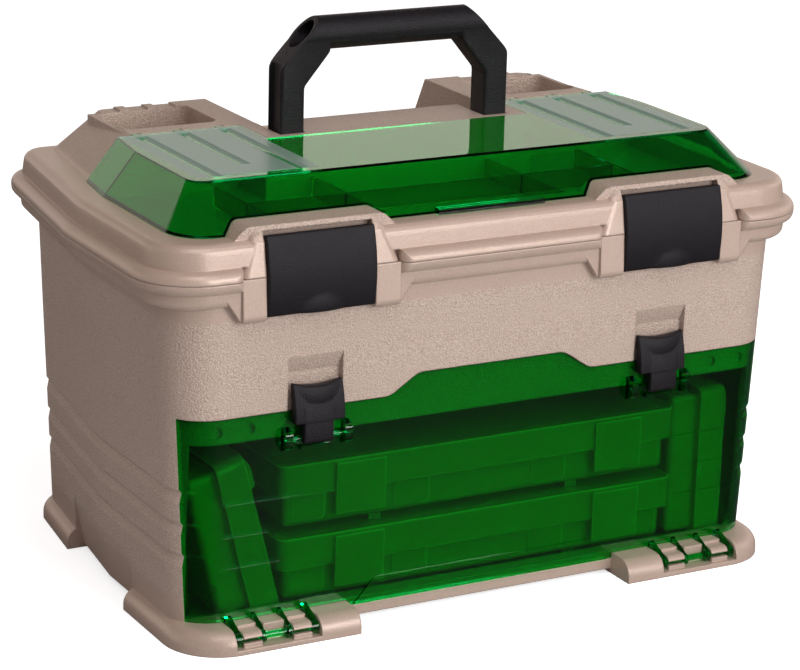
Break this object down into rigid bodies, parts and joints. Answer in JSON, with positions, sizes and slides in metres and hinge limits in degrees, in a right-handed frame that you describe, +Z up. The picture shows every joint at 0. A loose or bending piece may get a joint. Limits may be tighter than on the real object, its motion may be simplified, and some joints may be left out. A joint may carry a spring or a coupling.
{
  "type": "fishing tackle cabinet",
  "caption": "Portable moulded tackle cabinet with a drop-down see-through front door, lift-up lid, top cover, fold-back handle and parts boxes.",
  "frame": {"origin": "middle of the footprint, on the floor", "axes": "+X to the viewer's right along the width, -Y out of the front door, +Z up"},
  "size_m": [0.4614, 0.2964, 0.349],
  "materials": {
    "shell": "champagne metallic plastic with a fine pebble grain",
    "clear_green": "transparent deep green, polished",
    "box_green": "transparent green, satin",
    "charcoal": "fine textured charcoal",
    "pin": "plain wire pin"
  },
  "bodies": {
    "case": {"case_body": "shell", "lid_hinge_pin_left": "pin", "lid_hinge_pin_right": "pin", "lower_box_base": "box_green", "lower_box_lid": "box_green", "lower_box_dividers": "box_green", "lower_box_latch_1": "box_green", "lower_box_latch_2": "box_green", "upper_box_base": "box_green", "upper_box_lid": "box_green", "upper_box_dividers": "box_green", "upper_box_latch_1": "box_green", "upper_box_latch_2": "box_green", "right_box_base": "box_green", "right_box_lid": "box_green", "right_box_dividers": "box_green", "right_box_latch_1": "box_green", "left_box_base": "box_green", "left_box_lid": "box_green", "left_box_dividers": "box_green", "left_box_latch_1": "box_green"},
    "door": {"door_panel": "clear_green", "door_latch_pin_left": "clear_green", "door_latch_pin_right": "clear_green"},
    "door_latch_left": {"door_latch_left": "charcoal"},
    "door_latch_right": {"door_latch_right": "charcoal"},
    "lid": {"lid_frame": "shell", "compartment_dividers": "clear_green", "main_latch_pin_left": "pin", "main_latch_pin_right": "pin", "cover_hinge_pin_left": "pin", "cover_hinge_pin_right": "pin", "handle_pin_left": "pin", "handle_pin_right": "pin"},
    "cover": {"top_cover": "clear_green"},
    "handle": {"handle": "charcoal"},
    "main_latch_left": {"main_latch_left": "charcoal"},
    "main_latch_right": {"main_latch_right": "charcoal"}
  },
  "joints": [
    {"name": "lid_hinge", "type": "hinge", "parent": "case", "child": "lid", "pos_m": [0, 0.143, 0.2295], "axis": [-1, 0, 0], "range_deg": [0, 100]},
    {"name": "door_hinge", "type": "hinge", "parent": "case", "child": "door", "pos_m": [0, -0.141, 0.0075], "axis": [1, 0, 0], "range_deg": [0, 90]},
    {"name": "top_cover_hinge", "type": "hinge", "parent": "lid", "child": "cover", "pos_m": [0, 0.0364, 0.2746], "axis": [-1, 0, 0], "range_deg": [0, 25]},
    {"name": "handle_hinge", "type": "hinge", "parent": "lid", "child": "handle", "pos_m": [0, 0.011, 0.2675], "axis": [-1, 0, 0], "range_deg": [0, 90]},
    {"name": "main_latch_left_hinge", "type": "hinge", "parent": "lid", "child": "main_latch_left", "pos_m": [-0.12285, -0.1315, 0.25], "axis": [-1, 0, 0], "range_deg": [0, 100]},
    {"name": "door_latch_left_hinge", "type": "hinge", "parent": "door", "child": "door_latch_left", "pos_m": [-0.1214, -0.133, 0.126], "axis": [1, 0, 0], "range_deg": [0, 100]},
    {"name": "main_latch_right_hinge", "type": "hinge", "parent": "lid", "child": "main_latch_right", "pos_m": [0.12285, -0.1315, 0.25], "axis": [-1, 0, 0], "range_deg": [0, 100]},
    {"name": "door_latch_right_hinge", "type": "hinge", "parent": "door", "child": "door_latch_right", "pos_m": [0.1214, -0.133, 0.126], "axis": [1, 0, 0], "range_deg": [0, 100]}
  ]
}
